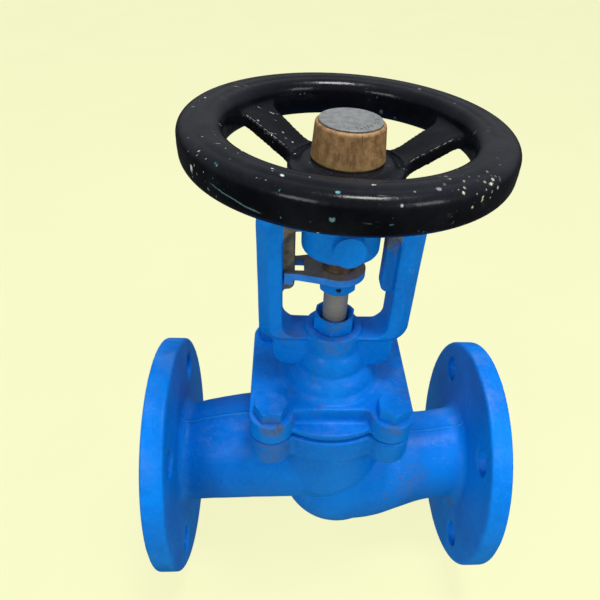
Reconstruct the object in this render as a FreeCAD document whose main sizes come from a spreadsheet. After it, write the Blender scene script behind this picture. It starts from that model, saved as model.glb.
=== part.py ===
import FreeCAD, Part
import math
import os
import Sketcher

# Flanged globe valve, DN 50, rising stem that does not turn, bellows seal.
# Origin: crossing of the pipe axis (X) and the stem axis (Z). +X is the inlet side,
# -Y is the front with the locking screw boss. Millimetres. Modelled fully open.

V = FreeCAD.Vector
doc = FreeCAD.newDocument("globe_valve")

# ------------------------------------------------------------------ driving sizes
SIZES = [
    # pipe flanges (EN 1092 PN 16, DN 50)
    ("edge_half", 112.0), ("raised_height", 3.0), ("flange_radius", 82.5), ("flange_thick", 14.0),
    ("raised_radius", 51.0), ("port_radius", 25.0), ("flange_bolt_circle", 62.5), ("flange_hole", 9.0),
    # casting round the passage
    ("neck_radius", 34.0), ("chamber_radius", 42.0), ("chamber_z", 15.0), ("bowl_radius", 42.0),
    ("bowl_x", 12.0), ("bowl_z", -16.0), ("bore_radius", 31.0), ("floor_z", -5.0), ("bridge_z", -13.0),
    # joint between body and bonnet
    ("lobe_half", 36.0), ("lobe_radius", 13.0), ("joint_radius", 46.5), ("body_joint_radius", 48.3),
    ("slab_half", 34.5), ("body_flange_bottom", 49.0),
    ("body_flange_top", 66.5), ("gasket_thick", 1.5), ("bonnet_flange_top", 82.5), ("bonnet_step", 72.3),
    ("joint_hole", 6.05),
    # bonnet and yoke
    ("bell_radius", 29.5), ("barrel_radius", 17.0), ("barrel_top", 120.3), ("yoke_half", 43.5),
    ("yoke_depth", 22.0), ("yoke_bottom", 111.0), ("yoke_top", 198.0), ("window_half", 30.0),
    ("window_bottom", 118.0), ("window_top", 185.0), ("rib_inner", 23.5), ("rib_width", 10.0),
    ("rib_bottom", 147.0), ("head_radius", 20.5), ("head_step", 172.0), ("head_bottom", 166.8),
    ("head_top", 205.0), ("lock_x", 2.0), ("lock_z", 183.0), ("lock_radius", 8.0), ("lock_face", 24.4),
    ("bellows_chamber", 14.5), ("chamber_top", 94.0), ("packing_bottom", 98.0), ("packing_radius", 11.5),
    # stem and what rides on it
    ("stem_radius", 7.0), ("stem_top", 226.0), ("run_gap", 0.05), ("disc_z", 9.1), ("disc_radius", 26.5),
    ("bellows_low", 50.0), ("bellows_high", 90.0), ("bellows_outer", 12.3), ("bellows_inner", 8.8),
    ("plate_top", 160.0), ("plate_thick", 4.0), ("collar_flats", 19.0), ("collar_bottom", 145.5),
    # seat and packing
    ("seat_outer", 27.5), ("seat_inner", 23.5), ("seat_top", -3.0), ("gland_flats", 22.0), ("gland_top", 129.3),
    # bush, wheel and nut
    ("bush_bottom", 160.6), ("bush_radius", 10.5), ("hub_bottom", 206.0), ("hub_top", 218.4),
    ("hub_bore", 10.0), ("wheel_radius", 76.2), ("rim_inner", 56.4), ("rim_bottom", 218.0), ("rim_top", 234.8),
    ("nut_base", 17.5), ("nut_crown", 16.05), ("nut_top", 234.5),
    ("spoke_apex", 5.9), ("spoke_limit", 57.8), ("hub_radius", 28.3),
]
sheet = doc.addObject("Spreadsheet::Sheet", "dims")
sheet.Label = "dims"
for row, (alias, value) in enumerate(SIZES, start=1):
    sheet.set("A%d" % row, alias)
    sheet.set("B%d" % row, str(value))
    sheet.setAlias("B%d" % row, alias)
doc.recompute()


class Q:
    """A size: its value now, and the expression that ties it to the sheet."""

    def __init__(self, value, text):
        self.v = float(value)
        self.e = text

    def __add__(self, o):
        o = q(o)
        return Q(self.v + o.v, "(%s + %s)" % (self.e, o.e))

    __radd__ = __add__

    def __sub__(self, o):
        o = q(o)
        return Q(self.v - o.v, "(%s - %s)" % (self.e, o.e))

    def __rsub__(self, o):
        o = q(o)
        return Q(o.v - self.v, "(%s - %s)" % (o.e, self.e))

    def __mul__(self, o):
        o = q(o)
        return Q(self.v * o.v, "(%s * %s)" % (self.e, o.e))

    __rmul__ = __mul__

    def __neg__(self):
        return Q(-self.v, "(0 - %s)" % self.e)


def q(x):
    return x if isinstance(x, Q) else Q(x, "%.6g" % x)


class Dims:
    def __getattr__(self, name):
        return Q(float(getattr(sheet, name)), "dims." + name)


d = Dims()


def bind(obj, prop, value):
    value = q(value)
    if "dims." in value.e:
        obj.setExpression(prop, value.e)


# ------------------------------------------------------------------ building blocks
X_AXIS = FreeCAD.Rotation(V(0, 1, 0), 90)      # local z along +X
FRONT = FreeCAD.Rotation(V(1, 0, 0), 90)       # local z along -Y
UP = FreeCAD.Rotation()


def place(obj, x, y, z, rot=UP):
    x, y, z = q(x), q(y), q(z)
    obj.Placement = FreeCAD.Placement(V(x.v, y.v, z.v), rot)
    bind(obj, "Placement.Base.x", x)
    bind(obj, "Placement.Base.y", y)
    bind(obj, "Placement.Base.z", z)
    return obj


def cyl(name, r, h, x=0, y=0, z=0, rot=UP):
    o = doc.addObject("Part::Cylinder", name)
    o.Radius, o.Height = q(r).v, q(h).v
    bind(o, "Radius", r)
    bind(o, "Height", h)
    return place(o, x, y, z, rot)


def cone(name, r1, r2, h, x=0, y=0, z=0, rot=UP):
    o = doc.addObject("Part::Cone", name)
    o.Radius1, o.Radius2, o.Height = q(r1).v, q(r2).v, q(h).v
    bind(o, "Radius1", r1)
    bind(o, "Radius2", r2)
    bind(o, "Height", h)
    return place(o, x, y, z, rot)


def ball(name, r, x, y, z):
    o = doc.addObject("Part::Sphere", name)
    o.Radius = q(r).v
    bind(o, "Radius", r)
    return place(o, x, y, z)


def box(name, lx, ly, lz, x, y, z):
    o = doc.addObject("Part::Box", name)
    o.Length, o.Width, o.Height = q(lx).v, q(ly).v, q(lz).v
    bind(o, "Length", lx)
    bind(o, "Width", ly)
    bind(o, "Height", lz)
    return place(o, x, y, z)


def hexa(name, flats, h, z, turn=0.0):
    o = doc.addObject("Part::Prism", name)
    o.Polygon = 6
    o.Circumradius, o.Height = q(flats).v / math.sqrt(3), q(h).v
    bind(o, "Circumradius", q(flats) * (1 / math.sqrt(3)))
    bind(o, "Height", h)
    return place(o, 0, 0, z, FreeCAD.Rotation(V(0, 0, 1), turn))


def fuse(name, shapes, refine=False):
    o = doc.addObject("Part::MultiFuse", name)
    o.Shapes = shapes
    o.Refine = refine
    return o


def cut(name, base, tool, refine=False):
    o = doc.addObject("Part::Cut", name)
    o.Base, o.Tool = base, tool
    o.Refine = refine
    return o


def common(name, a, b):
    o = doc.addObject("Part::MultiCommon", name)
    o.Shapes = [a, b]
    return o


def rounded(name, base, pick, radius, kind="Part::Fillet"):
    doc.recompute()
    edges = [(i, radius, radius) for i, e in enumerate(base.Shape.Edges, start=1) if pick(e)]
    if not edges:
        raise RuntimeError("%s: no edges to round" % name)
    o = doc.addObject(kind, name)
    o.Base = base
    o.Edges = edges
    doc.recompute()
    if "Invalid" in o.State or o.Shape.isNull() or not o.Shape.isValid():
        raise RuntimeError("%s: rounding failed" % name)
    return o


def tube(name, stations):
    """Round sections across X: (x, centre height, radius)."""
    rings = []
    for n, (x, zc, r) in enumerate(stations):
        c = doc.addObject("Part::Circle", "%s_%d" % (name, n))
        c.Radius = q(r).v
        bind(c, "Radius", r)
        place(c, x, 0, zc, X_AXIS)
        rings.append(c)
    o = doc.addObject("Part::Loft", name)
    o.Sections = rings
    o.Solid = True
    o.Ruled = False
    return o


def plane_of(body, role):
    return [f for f in body.Origin.OriginFeatures if f.Role == role][0]


def outline(sk, pts):
    """Closed outline; every corner is tied to the origin of the sketch. A point may
    carry a third value, the bulge of the side that starts there (+ is to the left)."""
    num = [(q(p[0]).v, q(p[1]).v) for p in pts]
    ends = []
    n = len(pts)
    for i, p in enumerate(pts):
        a, b = num[i], num[(i + 1) % n]
        if len(p) > 2:
            mx, my = (a[0] + b[0]) / 2, (a[1] + b[1]) / 2
            L = math.hypot(b[0] - a[0], b[1] - a[1])
            mid = V(mx - (b[1] - a[1]) / L * p[2], my + (b[0] - a[0]) / L * p[2], 0)
            g = Part.Arc(V(a[0], a[1], 0), mid, V(b[0], b[1], 0)).toShape().Curve
            arc = Part.ArcOfCircle(V(a[0], a[1], 0), mid, V(b[0], b[1], 0))
            k = sk.addGeometry(arc, False)
            geo = sk.Geometry[k]
            first = 1 if (geo.StartPoint - V(a[0], a[1], 0)).Length < 1e-6 else 2
            ends.append((k, first, 3 - first, g.Radius))
        else:
            k = sk.addGeometry(Part.LineSegment(V(a[0], a[1], 0), V(b[0], b[1], 0)), False)
            ends.append((k, 1, 2, None))
    for i in range(n):
        k, s, e, r = ends[i]
        k2, s2, e2, r2 = ends[(i + 1) % n]
        sk.addConstraint(Sketcher.Constraint("Coincident", k, e, k2, s2))
    for i, p in enumerate(pts):
        k, s, e, r = ends[i]
        for axis, val in (("DistanceX", p[0]), ("DistanceY", p[1])):
            c = sk.addConstraint(Sketcher.Constraint(axis, -1, 1, k, s, q(val).v))
            if "dims." in q(val).e:
                sk.setExpression("Constraints[%d]" % c, q(val).e)
        if r is not None:
            sk.addConstraint(Sketcher.Constraint("Radius", k, r))


def turned(name, pts, label=None):
    """A turned piece: closed half section (radius, height) spun about the stem axis."""
    b = doc.addObject("PartDesign::Body", name)
    if label:
        b.Label = label
    sk = b.newObject("Sketcher::SketchObject", name + "_section")
    sk.AttachmentSupport = [(plane_of(b, "XZ_Plane"), "")]
    sk.MapMode = "FlatFace"
    outline(sk, pts)
    doc.recompute()
    r = b.newObject("PartDesign::Revolution", name + "_turn")
    r.Profile = sk
    r.ReferenceAxis = (sk, ["V_Axis"])
    r.Angle = 360
    doc.recompute()
    return b


def bored_ring(name, outer, inner, low, high, edge=0.0, label=None):
    """A plain ring with broken outer edges."""
    outer, inner, low, high = q(outer), q(inner), q(low), q(high)
    if edge:
        pts = [(inner, low), (outer - edge, low), (outer, low + edge), (outer, high - edge),
               (outer - edge, high), (inner, high)]
    else:
        pts = [(inner, low), (outer, low), (outer, high), (inner, high)]
    return turned(name, pts, label)


def lobed(name, low, high):
    """Outline shared by the two joint flanges: rounded square with a round front."""
    low, high = q(low), q(high)
    side = d.lobe_half + d.lobe_radius
    parts = [box(name + "_slab", side * 2, d.slab_half * 2, high - low, -side, -d.slab_half, low)]
    for k, (sx, sy) in enumerate(((1, 1), (-1, 1), (-1, -1), (1, -1))):
        parts.append(cyl("%s_lobe%d" % (name, k), d.lobe_radius, high - low,
                         d.lobe_half * sx, d.lobe_half * sy, low))
    return parts


LOBES = ((1, 1), (-1, 1), (-1, -1), (1, -1))
keep = []          # (object, node name)


def node(obj, name):
    obj.Label = name
    keep.append((obj, name))
    return obj


# ------------------------------------------------------------------ 1 body casting
inner_face = d.edge_half - d.flange_thick
outer = []
for tag, s in (("out", -1), ("in", 1)):
    x0 = -d.edge_half if s < 0 else inner_face
    outer.append(cyl("pipe_flange_" + tag, d.flange_radius, d.flange_thick, x0, 0, 0, X_AXIS))
    x1 = -(d.edge_half + d.raised_height) if s < 0 else d.edge_half - 0.5
    outer.append(cyl("raised_face_" + tag, d.raised_radius, d.raised_height + 0.5, x1, 0, 0, X_AXIS))
outer.append(tube("neck_out", [(-inner_face - 1, 0, d.neck_radius), (-88, 2.6, d.neck_radius + 1),
                               (-68, 6.4, 36.6), (-38, 9.5, 38), (-4, 13.5, 40)]))
outer.append(tube("neck_in", [(inner_face + 1, 0, d.neck_radius), (86, -2.4, d.neck_radius - 0.8),
                              (72, -5.5, 33.4), (52, -11, 37), (32, -15, 40.2), (10, -16, 41.6)]))
outer.append(ball("chamber_ball", d.chamber_radius, 0, 0, d.chamber_z))
outer.append(cyl("chamber_wall", d.chamber_radius, d.body_flange_bottom - d.chamber_z + 1, 0, 0, d.chamber_z))
outer.append(ball("bowl_ball", d.bowl_radius, d.bowl_x, 0, d.bowl_z))
outer.append(box("foot_strip", 53, 40, 18, -80, -20, -29.4))
outer += lobed("body_joint", d.body_flange_bottom, d.body_flange_top)
outer.append(cyl("body_joint_round", d.body_joint_radius, d.body_flange_top - d.body_flange_bottom, 0, 0,
                 d.body_flange_bottom))
body_skin = fuse("body_skin", outer)

inner = [
    tube("passage_out", [(-d.edge_half - d.raised_height - 1, 0, d.port_radius), (-84, 3.4, 25.6),
                         (-52, 8.5, 26.5), (-22, 12.5, 25), (0, 14, 23)]),
    tube("passage_in", [(d.edge_half + d.raised_height + 1, 0, d.port_radius), (86, -2.6, 25.4),
                        (62, -8.5, 26.6), (38, -14, 26.5)]),
    cyl("chamber_bore", d.bore_radius, d.body_flange_top - d.floor_z + 1, 0, 0, d.floor_z),
    cyl("seat_bore", d.seat_outer, 10, 0, 0, d.bridge_z - 1),
    common("bowl_space", ball("bowl_inner", d.bowl_radius - 8, d.bowl_x, 0, d.bowl_z),
           box("bowl_under", 90, 90, 60, -40, -45, d.bridge_z - 60)),
]
hole_at = d.flange_bolt_circle * math.cos(math.radians(45))
for tag, s in (("out", -1), ("in", 1)):
    x0 = -(d.edge_half + 2) if s < 0 else inner_face - 2
    for k, (sy, sz) in enumerate(LOBES):
        inner.append(cyl("pipe_hole_%s%d" % (tag, k), d.flange_hole, d.flange_thick + 4, x0,
                         hole_at * sy, hole_at * sz, X_AXIS))
for k, (sx, sy) in enumerate(LOBES):
    inner.append(cyl("stud_hole%d" % k, d.joint_hole, 17.5, d.lobe_half * sx, d.lobe_half * sy,
                     d.body_flange_top - 16))
body_space = fuse("body_space", inner)


def ring_edge(x, r, tol=1.2):
    def pick(e):
        bb = e.BoundBox
        return (abs(bb.XMin - x) < 0.3 and abs(bb.XMax - x) < 0.3 and abs(bb.ZMax - r) < tol
                and abs(bb.YMax - r) < tol and abs(bb.YMin + r) < tol)
    return pick


def either(*picks):
    return lambda e: any(p(e) for p in picks)


soft_skin = rounded("body_neck_roots", body_skin,
                    either(ring_edge(-inner_face.v, 34), ring_edge(inner_face.v, 34)), 6.0)
soft_skin = rounded("body_rim_edges", soft_skin,
                    either(ring_edge(-inner_face.v, 82.5), ring_edge(inner_face.v, 82.5),
                           ring_edge(-112, 82.5), ring_edge(112, 82.5)), 1.0)
node(cut("body_cast", soft_skin, body_space), "body")

# ------------------------------------------------------------------ 2 bonnet with yoke
gasket_top = d.body_flange_top + d.gasket_thick
parts = lobed("bonnet_joint", gasket_top, d.bonnet_flange_top)
parts.append(cyl("bonnet_joint_round", d.joint_radius, d.bonnet_step - gasket_top, 0, 0, gasket_top))
parts.append(cyl("bonnet_spigot", 30.6, 4, 0, 0, gasket_top - 3.5))
parts.append(turned("bell", [(0, d.bonnet_flange_top - 2), (d.bell_radius + 1.2, d.bonnet_flange_top - 2),
                             (d.bell_radius + 1.2, d.bonnet_flange_top, -0.4), (d.bell_radius - 1.0, 85.2, -1.1),
                             (21.5, 95.0, -1.4), (d.barrel_radius, 107.0), (d.barrel_radius, d.barrel_top),
                             (0, d.barrel_top)]))


def along_y(e):
    bb = e.BoundBox
    return bb.YLength > 1 and bb.XLength < 1e-3 and bb.ZLength < 1e-3


frame_box = box("yoke_block", d.yoke_half * 2, d.yoke_depth, d.yoke_top - d.yoke_bottom,
                -d.yoke_half, d.yoke_depth * -0.5, d.yoke_bottom)
frame_box = rounded("yoke_block_round", frame_box, along_y, 13.0)
window = box("yoke_window", d.window_half * 2, d.yoke_depth + 4, d.window_top - d.window_bottom,
             -d.window_half, d.yoke_depth * -0.5 - 2, d.window_bottom)
window = rounded("yoke_window_round", window, along_y, 8.0)
yoke = cut("yoke_frame", frame_box, window)


def leg_edge(e):
    bb = e.BoundBox
    return (abs(abs(bb.XMin) - 43.5) < 0.01 and bb.XLength < 0.01 and bb.YLength < 0.01 and bb.ZLength > 20)


yoke = rounded("yoke_legs", yoke, leg_edge, 6.2, "Part::Chamfer")
parts.append(yoke)
for tag, s in (("l", -1), ("r", 1)):
    x0 = -(d.window_half + 1) if s < 0 else d.rib_inner
    rib = box("guide_rib_" + tag, d.window_half - d.rib_inner + 1, d.rib_width, d.window_top - d.rib_bottom + 3,
              x0, d.rib_width * -0.5, d.rib_bottom)
    parts.append(rounded("guide_rib_round_" + tag, rib, lambda e: e.BoundBox.YLength > 5 and
                         abs(abs(e.BoundBox.XMin) - 23.5) < 0.01 and e.BoundBox.ZMax < 150, 4.0))
    web = box("web_" + tag, 22, 17, 20, -35.5 if s < 0 else 13.5, -8.5, 95)
    parts.append(rounded("web_round_" + tag, web, lambda e: along_y(e) and e.BoundBox.ZMax < 100 and
                         abs(e.BoundBox.XMin) > 30, 9.5))
parts.append(cyl("head_drum", d.head_radius, d.head_top - d.head_step, 0, 0, d.head_step))
parts.append(cone("head_chin", 11.4, d.head_radius - 0.6, d.head_step - d.head_bottom + 0.5, 0, 0, d.head_bottom))
parts.append(cyl("lock_boss", d.lock_radius, d.lock_face, d.lock_x, 0, d.lock_z, FRONT))
bonnet_skin = fuse("bonnet_skin", parts)

spaces = [
    turned("bonnet_bore", [(0, gasket_top - 5), (26, gasket_top - 5), (26, 72), (d.bellows_chamber, 80),
                           (d.bellows_chamber, d.chamber_top), (7.4, d.chamber_top), (7.4, d.packing_bottom),
                           (d.packing_radius, d.packing_bottom), (d.packing_radius, d.barrel_top + 1),
                           (0, d.barrel_top + 1)]),
    turned("head_bore", [(0, d.head_bottom - 1), (d.bush_radius + d.run_gap, d.head_bottom - 1),
                         (d.bush_radius + d.run_gap, 191), (16.6, 191), (16.6, d.head_top + 1),
                         (0, d.head_top + 1)]),
    cyl("lock_thread", 3.05, 14, d.lock_x, -14, d.lock_z, FRONT),
]
for k, (sx, sy) in enumerate(LOBES):
    spaces.append(cyl("joint_hole%d" % k, d.joint_hole, 20, d.lobe_half * sx, d.lobe_half * sy, gasket_top - 2))
bonnet_space = fuse("bonnet_space", spaces)
node(cut("bonnet_cast", bonnet_skin, bonnet_space), "bonnet")

# ------------------------------------------------------------------ 3 joint hardware
node(bored_ring("gasket_ring", 41, 32, d.body_flange_top, gasket_top), "bonnet_gasket")

bolts = []
for k, (sx, sy) in enumerate(LOBES):
    head = doc.addObject("Part::Prism", "bolt_head%d" % k)
    head.Polygon = 6
    head.Circumradius = 18 / math.sqrt(3)
    head.Height = 7.5
    place(head, d.lobe_half * sx, d.lobe_half * sy, d.bonnet_flange_top, FreeCAD.Rotation(V(0, 0, 1), (12, 47, 2, 31)[k]))
    crown = cone("bolt_crown%d" % k, 17.5, 8.6, 9, d.lobe_half * sx, d.lobe_half * sy, d.bonnet_flange_top - 1.0)
    crowned = common("bolt_crowned%d" % k, head, crown)
    shank = cyl("bolt_shank%d" % k, d.joint_hole - 0.05, 31.5, d.lobe_half * sx, d.lobe_half * sy,
                d.bonnet_flange_top - 31)
    bolts.append(fuse("bolt%d" % k, [crowned, shank]))
bolt_group = doc.addObject("Part::Compound", "bolt_group")
bolt_group.Links = bolts
node(bolt_group, "bonnet_bolts")

# ------------------------------------------------------------------ 4 seat, disc, bellows
node(turned("seat", [(d.seat_inner, d.bridge_z), (d.seat_outer, d.bridge_z), (d.seat_outer, d.seat_top),
                     (d.seat_inner + 0.8, d.seat_top), (d.seat_inner, d.seat_top - 1.2)]), "seat_ring")
node(turned("plug", [(0, d.disc_z), (d.disc_radius - 1, d.disc_z), (d.disc_radius, d.disc_z + 1),
                     (d.disc_radius, d.disc_z + 6.5), (d.disc_radius - 2, d.disc_z + 8.5), (16, d.disc_z + 8.5),
                     (16, d.disc_z + 24), (12, d.disc_z + 24), (12, d.disc_z + 16.8), (10.3, d.disc_z + 16.8),
                     (10.3, d.disc_z + 9.8), (0, d.disc_z + 9.8)]), "disc")
node(turned("plug_nut", [(7.2, d.disc_z + 17), (11.95, d.disc_z + 17), (11.95, d.disc_z + 24.05),
                         (14.5, d.disc_z + 24.05), (14.5, d.disc_z + 27), (13.5, d.disc_z + 28),
                         (7.2, d.disc_z + 28)]), "disc_retainer")

pitch = 4.0
turns = 10
pts = []
top = d.bellows_high
for n in range(turns):
    z0 = top - n * pitch
    pts.append((d.bellows_inner + 0.45, z0 if n == 0 else z0 - 0.0))
    pts.append((d.bellows_outer, z0 - pitch * 0.35))
    pts.append((d.bellows_outer, z0 - pitch * 0.65))
pts.append((d.bellows_inner + 0.45, d.bellows_low))
back = [(d.bellows_inner, d.bellows_low)]
for n in reversed(range(turns)):
    z0 = top - n * pitch
    back.append((d.bellows_outer - 0.5, z0 - pitch * 0.62))
    back.append((d.bellows_outer - 0.5, z0 - pitch * 0.38))
    if n:
        back.append((d.bellows_inner, z0))
back.append((d.bellows_inner, d.bellows_high))
node(turned("bellows_wall", pts + back), "bellows")
node(turned("bellows_top", [(7.35, d.chamber_top), (7.35, d.bellows_high), (12.3, d.bellows_high),
                            (12.3, d.bellows_high + 1), (d.bellows_chamber - 0.02, d.bellows_high + 1),
                            (d.bellows_chamber - 0.02, d.chamber_top)]), "bellows_upper_ring")
node(turned("bellows_foot", [(d.stem_radius, d.bellows_low - 5), (9.5, d.bellows_low - 5), (12.3, d.bellows_low - 3),
                             (12.3, d.bellows_low), (d.stem_radius, d.bellows_low)]), "bellows_lower_ring")

# ------------------------------------------------------------------ 5 stem group
stem_foot = d.disc_z + 10
node(turned("stem_bar", [(0, stem_foot), (9, stem_foot), (10, stem_foot + 1), (10, stem_foot + 6.5),
                         (d.stem_radius, stem_foot + 6.5), (d.stem_radius, d.stem_top - 1.5),
                         (d.stem_radius - 1.5, d.stem_top), (0, d.stem_top)]), "stem")

collar_top = d.plate_top - d.plate_thick
collar_hex = hexa("collar_hex", d.collar_flats, collar_top - d.collar_bottom, d.collar_bottom, 30)
collar_cone = cone("collar_cone", 7.9, 30, 20, 0, 0, d.collar_bottom)
collar_cone2 = cone("collar_cone2", 30.2, 10.2, 20.5, 0, 0, collar_top - 20.5)
collar_shape = common("collar_trim", common("collar_trim0", collar_hex, collar_cone), collar_cone2)
collar_bore = fuse("collar_space", [cyl("collar_bore", d.stem_radius, 20, 0, 0, d.collar_bottom - 4),
                                    cyl("collar_screw_hole", 1.55, 8, 0, -6, d.collar_bottom + 5.5, FRONT)])
node(cut("collar", collar_shape, collar_bore), "collar_nut")
node(cyl("collar_screw", 1.5, 2.6, 0, -7.1, d.collar_bottom + 5.5, FRONT), "collar_set_screw")

# plate: round eye on the stem, arm that widens to the eye, fork round the left guide rib
plate_low = d.plate_top - d.plate_thick
arm = doc.addObject("PartDesign::Body", "plate_arm")
sk = arm.newObject("Sketcher::SketchObject", "plate_arm_outline")
sk.AttachmentSupport = [(plane_of(arm, "XY_Plane"), "")]
sk.MapMode = "FlatFace"
sk.AttachmentOffset = FreeCAD.Placement(V(0, 0, plate_low.v), UP)
sk.setExpression("AttachmentOffset.Base.z", plate_low.e)
outline(sk, [(-d.window_half + 0.8, -9.2), (-22, -9.2), (-7, -12.9), (-7, 12.9), (-22, 9.2),
             (-d.window_half + 0.8, 9.2)])
doc.recompute()
pad = arm.newObject("PartDesign::Pad", "plate_arm_pad")
pad.Profile = sk
pad.Length = d.plate_thick.v
bind(pad, "Length", d.plate_thick)
doc.recompute()
eye = cyl("plate_eye", 14.7, d.plate_thick, 0, 0, plate_low)
lug = box("plate_lug", 4.6, 3.5, 3.5, -d.window_half + 0.8, -9.2, plate_low - 2.5)
slot = box("plate_slot", 16.5, d.rib_width + 1.0, d.plate_thick + 2, -d.window_half - 5, (d.rib_width + 1.0) * -0.5,
           plate_low - 1)
plate_skin = fuse("plate_skin", [arm, eye, lug])
plate_holes = fuse("plate_holes", [slot, cyl("plate_bore", d.stem_radius, d.plate_thick + 2, 0, 0, plate_low - 1)])
node(cut("plate", plate_skin, plate_holes, True), "anti_rotation_plate")

# ------------------------------------------------------------------ 6 packing and gland
run_r = d.stem_radius + d.run_gap
node(bored_ring("packing_base", d.packing_radius - 0.02, run_r, d.packing_bottom, d.packing_bottom + 2),
     "packing_base_ring")
rings = []
for k in range(3):
    low = d.packing_bottom + 2 + 4 * k
    rings.append(bored_ring("packing_%d" % k, d.packing_radius - 0.02, run_r, low + 0.02, low + 3.98))
ring_group = doc.addObject("Part::Compound", "packing_group")
ring_group.Links = rings
node(ring_group, "packing_rings")
node(bored_ring("follower", d.packing_radius - 0.05, d.stem_radius + 0.4, d.packing_bottom + 14,
                d.packing_bottom + 16), "gland_follower")
gland_hex = hexa("gland_hex", d.gland_flats, d.gland_top - d.barrel_top, d.barrel_top, 20)
gland_crown = cone("gland_crown", 24, 11.4, 12.6, 0, 0, d.gland_top - 12.6)
gland_body = fuse("gland_solid", [common("gland_trim", gland_hex, gland_crown),
                                  cyl("gland_spigot", d.packing_radius - 0.05, 6.5, 0, 0, d.barrel_top - 6.2)])
gland_space = fuse("gland_space", [cyl("gland_bore", d.stem_radius + 0.5, 24, 0, 0, d.barrel_top - 8),
                                   cone("gland_mouth", d.stem_radius + 0.4, 10.3, 4.6, 0, 0, d.gland_top - 4.5)])
node(cut("gland", gland_body, gland_space), "gland_nut")

# ------------------------------------------------------------------ 7 bush, thrust set
node(turned("bush", [(run_r, d.bush_bottom), (8.9, d.bush_bottom), (8.9, d.head_bottom + 0.5),
                     (d.bush_radius, d.head_bottom + 2), (d.bush_radius, 193), (15.8, 193), (15.8, 198),
                     (12.5, 198), (12.5, d.hub_bottom), (d.hub_bore, d.hub_bottom), (d.hub_bore, d.hub_top),
                     (9.3, d.hub_top), (9.3, 227), (run_r, 227)]), "bush_blank")
bush_blank = keep.pop()[0]
bush_blank.Label = "bush_blank"
key_slot = box("bush_key_slot", 4, 4, 10.4, -2, 8, d.hub_bottom + 1)
node(cut("bush_cut", bush_blank, key_slot), "yoke_bush")
washers = [bored_ring("washer_low", 16.2, 10.75, 191.05, 192.95), bored_ring("washer_high", 16.2, 12.7, 198.05, 199.95)]
washer_group = doc.addObject("Part::Compound", "washer_group")
washer_group.Links = washers
node(washer_group, "thrust_washers")
node(bored_ring("retaining", 16.55, 13.0, 200, d.head_top - 0.6), "bush_retaining_ring")
lock = fuse("lock_solid", [cyl("lock_stem", 3.0, 11.5, d.lock_x, -14, d.lock_z, FRONT),
                           cyl("lock_cap", d.lock_radius, 1.6, d.lock_x, -d.lock_face, d.lock_z, FRONT)])
node(lock, "lock_screw")

# ------------------------------------------------------------------ 8 handwheel, nut, plate
# hub and dished web in one half section, rounded rim in another
wheel_hub = turned("wheel_hub", [(d.hub_bore + 0.02, d.hub_bottom), (23.5, d.hub_bottom),
                                 (d.rim_inner + 3, 222.8), (d.rim_inner + 3, 228.8), (28.5, 215.8),
                                 (25.0, 216.2), (21.2, d.hub_top), (d.hub_bore + 0.02, d.hub_top)])
rim_mid = (d.rim_bottom + d.rim_top) * 0.5
wheel_rim = turned("wheel_rim", [(d.rim_inner + 6.0, d.rim_bottom, -1.15), (d.wheel_radius - 6.0, d.rim_bottom, -2.35),
                                 (d.wheel_radius, rim_mid - 2.0, -0.25), (d.wheel_radius, rim_mid + 2.0, -2.35),
                                 (d.wheel_radius - 6.0, d.rim_top, -0.7), (d.rim_inner + 6.0, d.rim_top, -2.3),
                                 (d.rim_inner, rim_mid + 1.8, -0.2), (d.rim_inner, rim_mid - 1.8, -2.3)])


def window_prism(name, apex, inner, limit, low, high, r_inner, r_outer, angle):
    """Opening between two spokes: a wedge that ends on the hub and on the rim, corners rounded."""
    half = math.radians(54.1)
    reach = 62.0
    b = doc.addObject("PartDesign::Body", name + "_wedge")
    s = b.newObject("Sketcher::SketchObject", name + "_wedge_outline")
    s.AttachmentSupport = [(plane_of(b, "XY_Plane"), "")]
    s.MapMode = "FlatFace"
    s.AttachmentOffset = FreeCAD.Placement(V(0, 0, low), UP)
    outline(s, [(apex, 0), (apex + reach, -reach * math.tan(half)), (apex + reach, reach * math.tan(half))])
    doc.recompute()
    p = b.newObject("PartDesign::Pad", name + "_wedge_pad")
    p.Profile = s
    p.Length = high - low
    doc.recompute()
    c = common(name + "_raw", b, cyl(name + "_limit", limit, high - low, 0, 0, low))
    c = cut(name + "_inner", c, cyl(name + "_hub", inner, high - low + 2, 0, 0, low - 1))
    doc.recompute()
    edges = []
    for i, e in enumerate(c.Shape.Edges, start=1):
        bb = e.BoundBox
        if bb.ZLength > 5 and bb.XLength < 0.01 and bb.YLength < 0.01 and abs(bb.YMin) > 1:
            r = r_inner if math.hypot(bb.XMin, bb.YMin) < inner.v + 2 else r_outer
            edges.append((i, r, r))
    if len(edges) != 4:
        raise RuntimeError("%s: %d corners" % (name, len(edges)))
    f = doc.addObject("Part::Fillet", name)
    f.Base = c
    f.Edges = edges
    doc.recompute()
    f.Placement = FreeCAD.Placement(V(0, 0, 0), FreeCAD.Rotation(V(0, 0, 1), angle))
    return f


openings = []
for k, angle in enumerate((81.4, 201.4, 321.4)):
    openings.append(window_prism("opening%d" % k, d.spoke_apex, d.hub_radius, d.spoke_limit, 200, 240, 7.5, 5.5, angle))
web_open = cut("wheel_web_open", wheel_hub, fuse("opening_all", openings))
wheel_solid = fuse("wheel_solid", [web_open, wheel_rim])
node(cut("wheel", wheel_solid, box("wheel_key_slot", 4, 4, 16, -2, 9, d.hub_bottom + 0.9)), "handwheel")
node(box("key_block", 3.96, 3.9, 10, -1.98, 8.05, d.hub_bottom + 1.2), "wheel_key")

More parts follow.
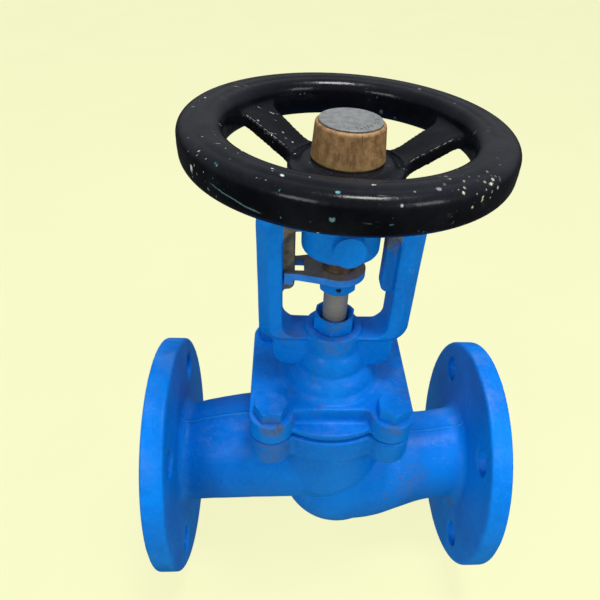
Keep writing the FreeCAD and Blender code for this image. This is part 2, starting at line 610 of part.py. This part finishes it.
nut_h = d.nut_top - d.hub_top
node(turned("nut", [(9.35, d.hub_top), (d.nut_base - 0.6, d.hub_top), (d.nut_base, d.hub_top + 0.8),
                    (d.nut_crown + 0.15, d.nut_top - 1.2, -0.25), (d.nut_crown - 1.0, d.nut_top), (0, d.nut_top),
                    (0, d.nut_top - 5.5), (9.35, d.nut_top - 5.5)]), "wheel_nut")
node(turned("disc_label", [(0, d.nut_top), (14.4, d.nut_top), (14.7, d.nut_top + 0.3), (14.7, d.nut_top + 0.7),
                           (14.4, d.nut_top + 1.0), (0, d.nut_top + 1.0)]), "name_plate")

# ------------------------------------------------------------------ check and write
doc.recompute()
bad = [o.Name for o in doc.Objects if any(s in ("Invalid", "Error") for s in o.State)]
if bad:
    raise RuntimeError("failed objects: %s" % bad)
os.makedirs("parts", exist_ok=True)
for obj, name in keep:
    shape = obj.Shape
    if shape.isNull() or not shape.isValid():
        raise RuntimeError("bad shape: " + name)
    if not shape.Solids:
        raise RuntimeError("no solid: " + name)
    bb = shape.BoundBox
    print("%-22s solids %d  volume %9.1f  x %7.1f %7.1f  y %7.1f %7.1f  z %7.1f %7.1f" % (
        name, len(shape.Solids), shape.Volume, bb.XMin, bb.XMax, bb.YMin, bb.YMax, bb.ZMin, bb.ZMax))
for obj, name in keep:
    obj.Shape.exportStep("parts/%s.step" % name)
print("nodes", len(keep))
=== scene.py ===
import math
import random

import bmesh
import bpy
from mathutils import Matrix, Vector, noise as mnoise
from mathutils.bvhtree import BVHTree


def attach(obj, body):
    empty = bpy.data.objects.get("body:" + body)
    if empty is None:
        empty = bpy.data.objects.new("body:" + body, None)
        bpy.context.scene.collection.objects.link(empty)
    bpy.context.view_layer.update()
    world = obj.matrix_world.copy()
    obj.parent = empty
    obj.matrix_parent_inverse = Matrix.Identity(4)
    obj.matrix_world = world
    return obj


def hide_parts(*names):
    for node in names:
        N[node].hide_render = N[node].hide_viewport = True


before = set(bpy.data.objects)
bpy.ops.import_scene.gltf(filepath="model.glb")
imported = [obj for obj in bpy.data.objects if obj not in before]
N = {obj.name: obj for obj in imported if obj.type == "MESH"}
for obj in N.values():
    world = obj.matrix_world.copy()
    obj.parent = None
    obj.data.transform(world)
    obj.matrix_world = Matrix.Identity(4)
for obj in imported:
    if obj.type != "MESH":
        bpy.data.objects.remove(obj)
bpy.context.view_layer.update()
MM = 0.001
scene = bpy.context.scene
random.seed(7)

# ---------------------------------------------------------------- camera
az, el, roll = math.radians(-7.13), math.radians(43.89), math.radians(5.45)
out = Vector((math.sin(az) * math.cos(el), -math.cos(az) * math.cos(el), math.sin(el)))
eye = Vector((2.901, 0.0, 75.143)) * MM + out * 350.608 * MM
fwd = -out
right = fwd.cross(Vector((0, 0, 1))).normalized()
up = right.cross(fwd).normalized()
r2 = right * math.cos(roll) + up * math.sin(roll)
u2 = up * math.cos(roll) - right * math.sin(roll)
cam = bpy.data.cameras.new("cam")
cam_ob = bpy.data.objects.new("cam", cam)
scene.collection.objects.link(cam_ob)
m = Matrix((r2, u2, out)).transposed().to_4x4()
m.translation = eye
cam_ob.matrix_world = m
cam.sensor_width = 36
cam.lens = 36 * 540.297 / 600
cam.shift_x = -(333.16 - 300) / 600
cam.shift_y = (378.613 - 300) / 600
cam.clip_start = 0.01
cam.clip_end = 20
scene.camera = cam_ob

# ---------------------------------------------------------------- colour handling, light
scene.view_settings.view_transform = "Standard"
scene.view_settings.look = "None"
world = bpy.data.worlds.new("studio")
scene.world = world
world.use_nodes = True
wn = world.node_tree
bg = wn.nodes["Background"]
# soft white tent above, dark below the table edge
w_tc = wn.nodes.new("ShaderNodeTexCoord")
w_xyz = wn.nodes.new("ShaderNodeSeparateXYZ")
wn.links.new(w_tc.outputs["Generated"], w_xyz.inputs[0])
w_map = wn.nodes.new("ShaderNodeMapRange")
w_map.interpolation_type = "SMOOTHSTEP"
wn.links.new(w_xyz.outputs[2], w_map.inputs["Value"])
w_map.inputs["From Min"].default_value = -0.10
w_map.inputs["From Max"].default_value = 0.45
w_map.inputs["To Min"].default_value = 0.05
w_map.inputs["To Max"].default_value = 0.46
wn.links.new(w_map.outputs[0], bg.inputs["Strength"])
bg.inputs["Color"].default_value = (0.93, 0.96, 1.0, 1)


def area(name, loc, target, size, power, color=(1, 1, 1)):
    l = bpy.data.lights.new(name, "AREA")
    l.shape = "RECTANGLE"
    l.size, l.size_y = size
    l.energy = power
    l.color = color
    o = bpy.data.objects.new(name, l)
    scene.collection.objects.link(o)
    o.location = loc
    o.rotation_euler = (Vector(target) - Vector(loc)).to_track_quat("-Z", "Y").to_euler()
    return o


area("overhead", (0.16, -0.02, 1.45), (0, 0, 0.05), (0.42, 0.30), 18.5, (1.0, 0.99, 0.97))
area("right_front", (0.95, -0.85, 0.85), (0, 0, 0.06), (0.45, 0.45), 6, (1.0, 0.99, 0.98))
area("left_front", (-0.75, -1.05, 0.75), (0, 0, 0.06), (0.5, 0.4), 6.5, (0.97, 0.98, 1.0))


# ---------------------------------------------------------------- node helper
class Tree:
    def __init__(self, name):
        self.mat = bpy.data.materials.new(name)
        self.mat.use_nodes = True
        self.t = self.mat.node_tree
        self.t.nodes.clear()
        self.out = self.t.nodes.new("ShaderNodeOutputMaterial")
        self.p = self.t.nodes.new("ShaderNodeBsdfPrincipled")
        self.t.links.new(self.p.outputs[0], self.out.inputs[0])
        tc = self.t.nodes.new("ShaderNodeTexCoord")
        self.obj = tc.outputs["Object"]
        self.nrm = tc.outputs["Normal"]

    def n(self, kind, **kw):
        nd = self.t.nodes.new(kind)
        for k, v in kw.items():
            setattr(nd, k, v)
        return nd

    def put(self, sock, v):
        if hasattr(v, "links"):
            self.t.links.new(v, sock)
        else:
            if isinstance(v, (tuple, list)) and len(v) == 3 and sock.type == "RGBA":
                v = (*v, 1)
            sock.default_value = v

    def scale(self, s, vec=None, loc=(0, 0, 0), rot=(0, 0, 0)):
        nd = self.n("ShaderNodeMapping")
        self.put(nd.inputs["Vector"], vec or self.obj)
        nd.inputs["Scale"].default_value = s if isinstance(s, tuple) else (s, s, s)
        nd.inputs["Location"].default_value = loc
        nd.inputs["Rotation"].default_value = rot
        return nd.outputs[0]

    def noise(self, s, detail=4, rough=0.55, vec=None, dist=0.0, loc=(0, 0, 0)):
        nd = self.n("ShaderNodeTexNoise")
        if vec is None or loc != (0, 0, 0):
            vec = self.scale(1.0, vec, loc)
        self.put(nd.inputs["Vector"], vec)
        nd.inputs["Scale"].default_value = s
        nd.inputs["Detail"].default_value = detail
        nd.inputs["Roughness"].default_value = rough
        nd.inputs["Distortion"].default_value = dist
        return nd.outputs["Fac"]

    def voro(self, s, vec=None, feature="F1", out="Distance", rnd=1.0):
        nd = self.n("ShaderNodeTexVoronoi", feature=feature)
        self.put(nd.inputs["Vector"], vec or self.obj)
        nd.inputs["Scale"].default_value = s
        nd.inputs["Randomness"].default_value = rnd
        return nd.outputs[out]

    def ramp(self, fac, lo, hi, a=0.0, b=1.0, smooth=True):
        nd = self.n("ShaderNodeMapRange", interpolation_type="SMOOTHSTEP" if smooth else "LINEAR")
        self.put(nd.inputs["Value"], fac)
        nd.inputs["From Min"].default_value = lo
        nd.inputs["From Max"].default_value = hi
        nd.inputs["To Min"].default_value = a
        nd.inputs["To Max"].default_value = b
        return nd.outputs[0]

    def math(self, op, a, b=0.0, c=None, clamp=False):
        nd = self.n("ShaderNodeMath", operation=op, use_clamp=clamp)
        self.put(nd.inputs[0], a)
        self.put(nd.inputs[1], b)
        if c is not None:
            self.put(nd.inputs[2], c)
        return nd.outputs[0]

    def mul(self, *a):
        r = a[0]
        for x in a[1:]:
            r = self.math("MULTIPLY", r, x)
        return r

    def add(self, a, b):
        return self.math("ADD", a, b)

    def mix(self, fac, a, b, blend="MIX"):
        nd = self.n("ShaderNodeMix", data_type="RGBA", blend_type=blend)
        self.put(nd.inputs[0], fac)
        self.put(nd.inputs[6], a)
        self.put(nd.inputs[7], b)
        return nd.outputs[2]

    def xyz(self, vec=None):
        nd = self.n("ShaderNodeSeparateXYZ")
        self.put(nd.inputs[0], vec or self.obj)
        return nd.outputs

    def near(self, point, r0, r1):
        """1 inside r0 of a point, 0 outside r1 (metres)."""
        nd = self.n("ShaderNodeVectorMath", operation="DISTANCE")
        self.put(nd.inputs[0], self.obj)
        nd.inputs[1].default_value = point
        return self.ramp(nd.outputs["Value"], r0, r1, 1, 0)

    def band(self, v, lo, hi, soft):
        a = self.ramp(v, lo - soft, lo + soft)
        b = self.ramp(v, hi - soft, hi + soft, 1, 0)
        return self.mul(a, b)

    def bump(self, height, dist, strength=1.0, prev=None):
        nd = self.n("ShaderNodeBump")
        nd.inputs["Strength"].default_value = strength
        nd.inputs["Distance"].default_value = dist
        self.put(nd.inputs["Height"], height)
        if prev is not None:
            self.put(nd.inputs["Normal"], prev)
        return nd.outputs[0]

    def finish(self, color, rough, normal=None, metallic=0.0, coat=0.0, coat_rough=0.1, ior=1.5, spec=0.5):
        self.put(self.p.inputs["Base Color"], color)
        self.put(self.p.inputs["Roughness"], rough)
        self.put(self.p.inputs["Metallic"], metallic)
        self.p.inputs["Coat Weight"].default_value = coat
        self.p.inputs["Coat Roughness"].default_value = coat_rough
        self.p.inputs["IOR"].default_value = ior
        self.p.inputs["Specular IOR Level"].default_value = spec
        if normal is not None:
            self.put(self.p.inputs["Normal"], normal)
        return self.mat


BLUE = (0.0004, 0.180, 0.710)
BLUE_DEEP = (0.0003, 0.125, 0.540)
BLUE_PALE = (0.014, 0.270, 0.820)
DIRT = (0.085, 0.075, 0.055)
DUST = (0.32, 0.36, 0.38)


def enamel(name, cast=1.0, seed=0.0, spots=(), bare=None, dirt=1.0, seam=False):
    """Azure enamel brushed on cast iron: orange peel, soft tone changes, dust in patches, brown stains."""
    t = Tree(name)
    vec = t.scale(1.0, loc=(seed, seed * 0.7, seed * 0.3))
    x, y, z = t.xyz()
    tone = t.noise(16, 5, 0.6, vec)
    col = t.mix(t.ramp(tone, 0.30, 0.72), BLUE_DEEP, BLUE)
    streak = t.noise(9, 6, 0.65, t.scale((3.0, 3.0, 1.0), vec), 0.6)
    col = t.mix(t.ramp(streak, 0.55, 0.80, 0, 0.35), col, BLUE_PALE)
    fine = t.noise(420, 3, 0.6, vec)
    col = t.mix(t.ramp(fine, 0.35, 0.70, 0.0, 0.16), col, BLUE_PALE)
    # dust lies on faces that look up
    nx, ny, nz = t.xyz(t.nrm)
    upf = t.ramp(nz, 0.55, 0.98)
    dust = t.mul(upf, t.ramp(t.noise(38, 7, 0.7, vec), 0.46, 0.74), 0.16 * dirt)
    col = t.mix(dust, col, DUST)
    grime = t.mul(t.ramp(t.noise(60, 8, 0.72, vec, 0.8), 0.60, 0.74), 0.55 * dirt)
    col = t.mix(grime, col, DIRT)
    specks = t.ramp(t.voro(330, vec), 0.055, 0.10, 0.55 * dirt, 0.0)
    keep = t.ramp(t.noise(22, 3, 0.5, vec), 0.52, 0.62)
    col = t.mix(t.mul(specks, keep), col, (0.50, 0.55, 0.58))
    pits = t.ramp(t.voro(210, t.scale(1.0, vec, (3.1, 0.4, 1.7))), 0.05, 0.085, 0.6 * dirt, 0.0)
    col = t.mix(t.mul(pits, t.ramp(t.noise(30, 3, 0.5, vec, 0, (1, 2, 3)), 0.50, 0.60)), col, (0.03, 0.03, 0.035))
    for point, r0, r1, strength in spots:
        edge = t.noise(170, 6, 0.7, vec)
        s = t.mul(t.near(tuple(c * MM for c in point), r0 * MM, r1 * MM), t.ramp(edge, 0.36, 0.62), strength)
        col = t.mix(s, col, (0.10, 0.085, 0.05))
    rough = t.ramp(t.noise(48, 5, 0.6, vec), 0.3, 0.75, 0.30, 0.46)
    metal = 0.0
    if bare is not None:
        mask, tint = bare(t, x, y, z, vec)
        col = t.mix(mask, col, tint)
        rough = t.add(rough, t.mul(mask, 0.12))
        metal = t.mul(mask, 0.35)
    if seam:
        # parting line of the mould along the top of the two necks: a bump ridge, with a paler stroke along it that is
        # a painted highlight on the ridge
        ax = t.math("ABSOLUTE", x)
        wob = t.mul(t.math("SUBTRACT", t.noise(30, 3, 0.5, vec), 0.5), 0.0016)
        line = t.mul(t.band(t.add(y, wob), -0.0042, -0.0026, 0.0007), t.band(ax, 0.046, 0.0975, 0.002), t.ramp(z, 0.015, 0.022))
        # painted highlight: the seam line is coloured paler blue where the ridge catches the light
        col = t.mix(t.mul(line, 0.55), col, BLUE_PALE)
        first = t.bump(line, 0.0009, 1.0)
    else:
        first = None
    bump = t.bump(t.noise(150, 4, 0.55, vec), 0.0011 * cast, 0.55, first)
    bump = t.bump(t.noise(620, 3, 0.55, vec), 0.00022 * cast, 0.6, bump)
    return t.finish(col, rough, bump, metal, coat=0.02, coat_rough=0.2, ior=1.45, spec=0.08)


def steel(name, color, rough=(0.22, 0.4), grain=(40, 40, 1800), grime=0.5, seed=0.0, tint=(0.16, 0.12, 0.08), metallic=1.0):
    t = Tree(name)
    vec = t.scale(1.0, loc=(seed, seed, seed))
    lines = t.noise(1.0, 3, 0.6, t.scale(grain, vec))
    base = t.mix(t.ramp(lines, 0.35, 0.65), tuple(c * 0.78 for c in color), color)
    dirt = t.mul(t.ramp(t.noise(90, 7, 0.7, vec, 0.5), 0.48, 0.70), grime)
    base = t.mix(dirt, base, tint)
    r = t.add(t.ramp(lines, 0.3, 0.7, rough[0], rough[1]), t.mul(dirt, 0.3))
    b = t.bump(lines, 0.00005, 0.5)
    b = t.bump(t.noise(500, 4, 0.6, vec), 0.00008, 0.5, b)
    return t.finish(base, r, b, metallic)


def set_mat(ob, mat):
    if not ob.material_slots:
        ob.data.materials.append(mat)
    for s in ob.material_slots:
        s.material = mat


# ---------------------------------------------------------------- materials
def guide_bare(t, x, y, z, vec):
    """Where the guide ribs are rubbed to bare iron; thinner paint left on the right rib."""
    ax = t.math("ABSOLUTE", x)
    on_rib = t.mul(t.ramp(ax, 0.0300, 0.0292), t.ramp(ax, 0.0228, 0.0232), t.band(z, 0.1475, 0.1900, 0.0008))
    worn = t.noise(120, 6, 0.7, vec)
    left = t.mul(t.ramp(x, 0.0, -0.002), t.ramp(worn, 0.22, 0.42))
    rightm = t.mul(t.ramp(x, 0.0, 0.002), t.ramp(t.add(t.mul(worn, 0.5), t.mul(z, 6.0)), 1.24, 1.33))
    m = t.mul(on_rib, t.math("MAXIMUM", left, rightm))
    tint = t.mix(t.ramp(t.noise(240, 5, 0.65, vec), 0.35, 0.65), (0.115, 0.105, 0.10), (0.21, 0.19, 0.175))
    return m, tint


body_spots = [((-36, -47, 60), 5, 16, 0.35), ((88, -22, -26), 5, 18, 0.6), ((14, -34, -45), 6, 22, 0.35),
              ((-60, -30, -24), 4, 18, 0.25), ((60, -30, 5), 4, 20, 0.3), ((103, 0, -78), 4, 22, 0.4)]
bonnet_spots = [((-35, -48, 80), 3, 9, 0.9), ((-21, -41, 80), 2, 7, 0.8), ((22, -40, 80), 2, 6, 0.5),
                ((36, -48, 80), 2, 8, 0.4), ((0, -12, 118), 3, 14, 0.35), ((-26, -10, 119), 3, 10, 0.3),
                ((0, -20, 166), 3, 14, 0.35)]
m_body = enamel("body_enamel", 1.0, 0.0, body_spots, seam=True)
m_bonnet = enamel("bonnet_enamel", 0.85, 2.3, bonnet_spots, guide_bare)
m_bolt = enamel("bolt_enamel", 0.45, 4.1, [((-36, -45, 83), 2, 7, 0.8)], dirt=0.9)
m_gland = enamel("gland_enamel", 0.4, 5.2, [((0, -9, 129), 2, 9, 0.4)], dirt=1.0)
m_collar = enamel("collar_enamel", 0.4, 6.6, [], dirt=0.9)
m_lock = enamel("lock_enamel", 0.5, 7.7, [], dirt=0.7)

# anti-rotation plate: brown rubbed steel above and below, blue on its edges
t = Tree("plate_steel")
nx, ny, nz = t.xyz(t.nrm)
flat = t.ramp(t.math("ABSOLUTE", nz), 0.7, 0.9)
grain = t.noise(190, 7, 0.7, None, 0.4)
steel_col = t.mix(t.ramp(grain, 0.34, 0.66), (0.085, 0.080, 0.078), (0.165, 0.145, 0.120))
blue_col = t.mix(t.ramp(t.noise(120, 5), 0.4, 0.7), BLUE, BLUE_DEEP)
flake = t.ramp(t.noise(70, 7, 0.7, None, 0, (4, 2, 0)), 0.56, 0.62)
edge_mask = t.math("MAXIMUM", t.math("SUBTRACT", 1.0, flat), t.mul(flat, flake, 0.12))
m_plate = t.finish(t.mix(edge_mask, steel_col, blue_col), t.ramp(grain, 0.3, 0.7, 0.38, 0.6),
                   t.bump(grain, 0.00025, 0.6), t.mul(flat, 0.15))

# handwheel: gloss black enamel with chips to pale primer, scratches, and a grey haze on up-facing faces that is partly
# dust and partly painted sheen
t = Tree("wheel_black")
x, y, z = t.xyz()
ang = t.math("ARCTAN2", y, x)
side = t.math("COSINE", t.math("SUBTRACT", ang, math.radians(205)))      # worst at the front left
worn_side = t.ramp(side, -0.35, 0.95, 0.12, 1.0)
base = t.mix(t.ramp(t.noise(28, 6, 0.65), 0.35, 0.7), (0.0022, 0.0024, 0.0042), (0.0075, 0.0080, 0.0115))
nx, ny, nz = t.xyz(t.nrm)
# grey haze on faces that look up: partly dust (it also roughens them), partly a painted sheen standing in for the
# reflection on the tops
dust_and_sheen = t.mul(t.ramp(nz, 0.25, 0.95), t.ramp(t.noise(34, 7, 0.7, None, 0.6), 0.46, 0.80), 0.030)
base = t.mix(dust_and_sheen, base, (0.16, 0.17, 0.20))
chips1 = t.mul(t.ramp(t.add(t.voro(95, t.scale((1.0, 1.0, 0.62), None, (0.3, 0.9, 0.1))),
                            t.mul(t.math("SUBTRACT", t.noise(420, 4, 0.7), 0.5), 0.16)), 0.07, 0.115, 1, 0),
               t.ramp(t.noise(45, 6, 0.7, None, 0, (2, 5, 1)), 0.49, 0.54))
chips2 = t.mul(t.ramp(t.voro(230, t.scale(1.0, None, (1.3, 0.2, 0.8))), 0.10, 0.17, 1, 0),
               t.ramp(t.noise(40, 6, 0.7, None, 0, (7, 3, 4)), 0.52, 0.57))
scr_v = t.scale((60, 900, 500), None, (0.2, 0.1, 0.4), (0.2, 0.5, 0.9))
scr = t.mul(t.ramp(t.noise(1.0, 2, 0.5, scr_v), 0.69, 0.735), t.ramp(t.noise(30, 4, 0.6, None, 0, (6, 6, 6)), 0.48, 0.6))
chip = t.math("MAXIMUM", chips1, t.math("MAXIMUM", chips2, t.mul(scr, 0.7)))
chip = t.mul(chip, worn_side)
chip_col = t.mix(t.ramp(t.noise(55, 2, 0.5, None, 0, (9, 1, 2)), 0.56, 0.62), (0.50, 0.56, 0.58), (0.06, 0.30, 0.35))
# one long scrape at the front left, a patch of pale specks at the front right
wobble = t.mul(t.math("SUBTRACT", t.noise(190, 4, 0.6), 0.5), 0.0018)
drop = t.math("MULTIPLY_ADD", ang, 0.0105, z)            # constant along the scrape
s_line = t.mul(t.band(t.add(drop, wobble), 0.20075, 0.20125, 0.00022), t.band(ang, -2.40, -2.10, 0.03),
               t.ramp(t.math("SQRT", t.add(t.mul(x, x), t.mul(y, y))), 0.069, 0.072), t.ramp(t.noise(260, 4, 0.6), 0.34, 0.44))
patch = t.mul(t.near((0.043, -0.061, 0.232), 0.006, 0.017), t.ramp(t.voro(300), 0.20, 0.30, 1, 0),
              t.ramp(t.noise(150, 5, 0.7, None, 0, (3, 3, 8)), 0.46, 0.54))
pit = t.near((-0.0123, -0.0748, 0.2277), 0.0008, 0.0013)
pit_lip = t.mul(t.near((-0.0122, -0.0750, 0.2264), 0.0008, 0.0014), t.math("SUBTRACT", 1.0, pit))
chip_extra = t.math("MAXIMUM", t.math("MAXIMUM", t.mul(s_line, 0.6), t.mul(patch, 0.9)), t.mul(pit_lip, 0.7))
base = t.mix(chip, base, chip_col)
base = t.mix(chip_extra, base, t.mix(t.ramp(x, -0.01, 0.01), (0.12, 0.26, 0.30), (0.55, 0.55, 0.42)))
rough = t.ramp(t.noise(70, 6, 0.65), 0.3, 0.75, 0.16, 0.32)
rough = t.add(t.add(rough, t.mul(dust_and_sheen, 1.2)), t.mul(chip, 0.35))
b = t.bump(t.noise(110, 4, 0.5), 0.0007, 0.5)
b = t.bump(t.noise(500, 3, 0.5), 0.00015, 0.5, b)
b = t.bump(t.math("SUBTRACT", 1.0, chip), 0.0003, 0.7, b)
m_wheel = t.finish(base, rough, b, 0.0, coat=0.10, coat_rough=0.07, ior=1.42, spec=0.12)

# bronze nut: dull brown cast skin with streaks down its side, yellower at the base
t = Tree("nut_bronze")
x, y, z = t.xyz()
ang = t.math("ARCTAN2", y, x)
comb = t.n("ShaderNodeCombineXYZ")
t.put(comb.inputs[0], t.mul(ang, 9.0))
t.put(comb.inputs[1], t.mul(z, 60.0))
streak = t.noise(1.6, 6, 0.72, comb.outputs[0])
grain = t.noise(330, 6, 0.7)
col = t.mix(t.ramp(grain, 0.32, 0.68), (0.170, 0.088, 0.034), (0.340, 0.200, 0.082))
col = t.mix(t.ramp(streak, 0.50, 0.72, 0, 0.75), col, (0.080, 0.042, 0.020))
col = t.mix(t.ramp(streak, 0.30, 0.16, 0, 0.5), col, (0.46, 0.32, 0.16))
foot = t.mul(t.ramp(z, 0.2235, 0.2190), t.ramp(t.noise(120, 5, 0.6), 0.35, 0.6), 0.7)
col = t.mix(foot, col, (0.30, 0.25, 0.09))
b = t.bump(grain, 0.0004, 0.7)
b = t.bump(streak, 0.0005, 0.5, b)
m_nut = t.finish(col, t.ramp(grain, 0.3, 0.7, 0.42, 0.66), b, 0.25)

# label disc: etched grey metal with plain ring and tick marks
t = Tree("label_alu")
x, y, z = t.xyz()
rad = t.math("SQRT", t.add(t.mul(x, x), t.mul(y, y)))
ang = t.math("ARCTAN2", y, x)
ring1 = t.band(rad, 0.01335, 0.01352, 0.00006)
ring2 = t.band(rad, 0.00905, 0.00920, 0.00006)
wave = t.math("SINE", t.mul(ang, 38.0))
arc = t.math("MAXIMUM", t.ramp(t.math("COSINE", t.math("SUBTRACT", ang, math.radians(-25))), 0.42, 0.46),
             t.mul(t.ramp(t.math("COSINE", t.math("SUBTRACT", ang, math.radians(-125))), 0.86, 0.90), 0.45))
marks = t.mul(t.band(rad, 0.0102, 0.0127, 0.00012), t.ramp(wave, -0.05, 0.15), arc,
              t.ramp(t.noise(1.0, 2, 0.5, t.scale((420, 420, 1))), 0.40, 0.46))
ink = t.math("MAXIMUM", t.mul(t.math("MAXIMUM", ring1, ring2), 0.45), marks)
grain = t.noise(260, 7, 0.7)
col = t.mix(t.ramp(grain, 0.3, 0.7), (0.150, 0.157, 0.160), (0.225, 0.233, 0.238))
col = t.mix(t.mul(ink, 0.85), col, (0.05, 0.05, 0.055))
grime = t.ramp(t.noise(140, 7, 0.72, None, 0.5), 0.50, 0.68, 0, 0.5)
col = t.mix(grime, col, (0.13, 0.115, 0.09))
m_label = t.finish(col, t.ramp(grain, 0.3, 0.7, 0.42, 0.6), t.bump(t.add(grain, t.mul(ink, -0.6)), 0.00015, 0.6), 0.35)

m_stem = steel("stem_steel", (0.30, 0.295, 0.285), (0.28, 0.42), (30, 30, 1400), 0.30, 0.3, metallic=0.35)
m_inner = steel("inner_steel", (0.58, 0.58, 0.58), (0.22, 0.36), (40, 40, 1500), 0.25, 1.1)
m_ring = steel("ring_steel", (0.48, 0.48, 0.49), (0.25, 0.4), (60, 60, 900), 0.4, 2.2)
m_washer = steel("washer_steel", (0.46, 0.46, 0.47), (0.25, 0.4), (400, 400, 60), 0.45, 2.9)
m_key = steel("key_steel", (0.50, 0.50, 0.50), (0.2, 0.35), (60, 900, 60), 0.3, 3.3)
m_screw = steel("screw_steel", (0.20, 0.20, 0.20), (0.3, 0.5), (300, 300, 300), 0.6, 4.4)
m_bush = steel("bush_bronze", (0.42, 0.30, 0.20), (0.28, 0.48), (50, 50, 900), 0.6, 5.5, (0.10, 0.07, 0.05))

t = Tree("graphite")
g = t.noise(520, 6, 0.7)
col = t.mix(t.ramp(g, 0.3, 0.7), (0.018, 0.018, 0.02), (0.06, 0.06, 0.065))
m_graph = t.finish(col, t.ramp(g, 0.3, 0.7, 0.45, 0.7), t.bump(g, 0.0002, 0.6))

MATS = {"body": m_body, "bonnet": m_bonnet, "bonnet_gasket": m_graph, "bonnet_bolts": m_bolt, "seat_ring": m_inner,
        "disc": m_inner, "disc_retainer": m_inner, "bellows": m_inner, "bellows_upper_ring": m_inner,
        "bellows_lower_ring": m_inner, "stem": m_stem, "collar_nut": m_collar, "collar_set_screw": m_screw,
        "anti_rotation_plate": m_plate, "packing_base_ring": m_ring, "packing_rings": m_graph,
        "gland_follower": m_ring, "gland_nut": m_gland, "yoke_bush": m_bush, "thrust_washers": m_washer,
        "bush_retaining_ring": m_ring, "lock_screw": m_lock, "handwheel": m_wheel, "wheel_key": m_key,
        "wheel_nut": m_nut, "name_plate": m_label}
for name, ob in N.items():
    set_mat(ob, MATS[name])


# ---------------------------------------------------------------- cast skins
def cast_skin(node, piece, voxel, smooth, body, shape=None):
    """A casting's skin: the CAD solid with every inner and outer corner eased as a mould leaves it."""
    src = N[node]
    me = src.data.copy()
    ob = bpy.data.objects.new(piece, me)
    scene.collection.objects.link(ob)
    bm = bmesh.new()
    bm.from_mesh(me)
    bmesh.ops.remove_doubles(bm, verts=bm.verts, dist=1e-6)
    bm.to_mesh(me)
    bm.free()
    mod = ob.modifiers.new("remesh", "REMESH")
    mod.mode = "VOXEL"
    mod.voxel_size = voxel
    mod.use_smooth_shade = True
    sm = ob.modifiers.new("smooth", "SMOOTH")
    sm.factor = 0.5
    sm.iterations = smooth
    dg = bpy.context.evaluated_depsgraph_get()
    dg.update()
    new = bpy.data.meshes.new_from_object(ob.evaluated_get(dg))
    ob.modifiers.clear()
    ob.data = new
    new.materials.clear()
    new.materials.append(MATS[node])
    for p in new.polygons:
        p.use_smooth = True
        p.material_index = 0
    if shape:
        moved = [(v.index, v.co + v.normal * shape(v.co)) for v in new.vertices]
        for i, co in moved:
            new.vertices[i].co = co
        new.update()
    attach(ob, body)
    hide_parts(node)
    return ob


def ramp01(v, a, b):
    k = min(1.0, max(0.0, (v - a) / (b - a)))
    return k * k * (3 - 2 * k)


def body_shape(co):
    """Sand-cast unevenness between the flanges, and the parting ridge along the top of each neck."""
    x, y, z = co
    free = ramp01(0.0965 - abs(x), 0.0, 0.006) * ramp01(0.049 - z, -0.001, 0.003)
    if free <= 0:
        return 0.0
    inner = math.hypot(y, z - 0.004) < 0.029 or (math.hypot(x, y) < 0.0325 and z > -0.008)
    if inner:
        return 0.0
    h = 0.00028 * mnoise.noise(Vector((x, y, z)) * 46.0) + 0.00010 * mnoise.noise(Vector((x, y, z)) * 150.0)
    if z > 0.012 and abs(x) > 0.044:
        yy = y + 0.0007 * mnoise.noise(Vector((x * 40, 3.1, 0.4)))
        h += 0.00075 * ramp01(0.0017 - abs(yy + 0.0034), 0.0, 0.0013) * ramp01(abs(x), 0.044, 0.050)
    return h * free


def bonnet_shape(co):
    """Faint sand-cast unevenness on the bell and the legs."""
    x, y, z = co
    if z < 0.084 or z > 0.2035 or math.hypot(x, y) < 0.0165:
        return 0.0
    return 0.00013 * mnoise.noise(Vector((x, y, z)) * 60.0) * ramp01(z, 0.084, 0.088)


skin_body = cast_skin("body", "body_cast_skin", 0.0011, 4, "casing", body_shape)
skin_bonnet = cast_skin("bonnet", "bonnet_cast_skin", 0.0009, 4, "casing", bonnet_shape)
skin_wheel = cast_skin("handwheel", "handwheel_skin", 0.0009, 5, "wheel")

# ---------------------------------------------------------------- floor
bm = bmesh.new()
bmesh.ops.create_grid(bm, x_segments=8, y_segments=8, size=6.0)
me = bpy.data.meshes.new("floor")
bm.to_mesh(me)
bm.free()
floor = bpy.data.objects.new("floor", me)
scene.collection.objects.link(floor)
floor.location = (0, 0, -0.0827)
t = Tree("floor_paper")
g = t.noise(6, 4, 0.5)
fine = t.noise(900, 3, 0.6)
paper = t.mix(t.ramp(g, 0.3, 0.7), (0.945, 0.955, 0.590), (0.955, 0.965, 0.597))
paper = t.mix(t.ramp(fine, 0.3, 0.7, 0.0, 0.012), paper, (0.80, 0.80, 0.50))
t.put(t.p.inputs["Emission Color"], paper)
t.p.inputs["Emission Strength"].default_value = 0.91
m_floor = t.finish(t.mix(0.93, paper, (0.002, 0.002, 0.0015)), 0.95, spec=0.02)
me.materials.append(m_floor)
floor.visible_glossy = False
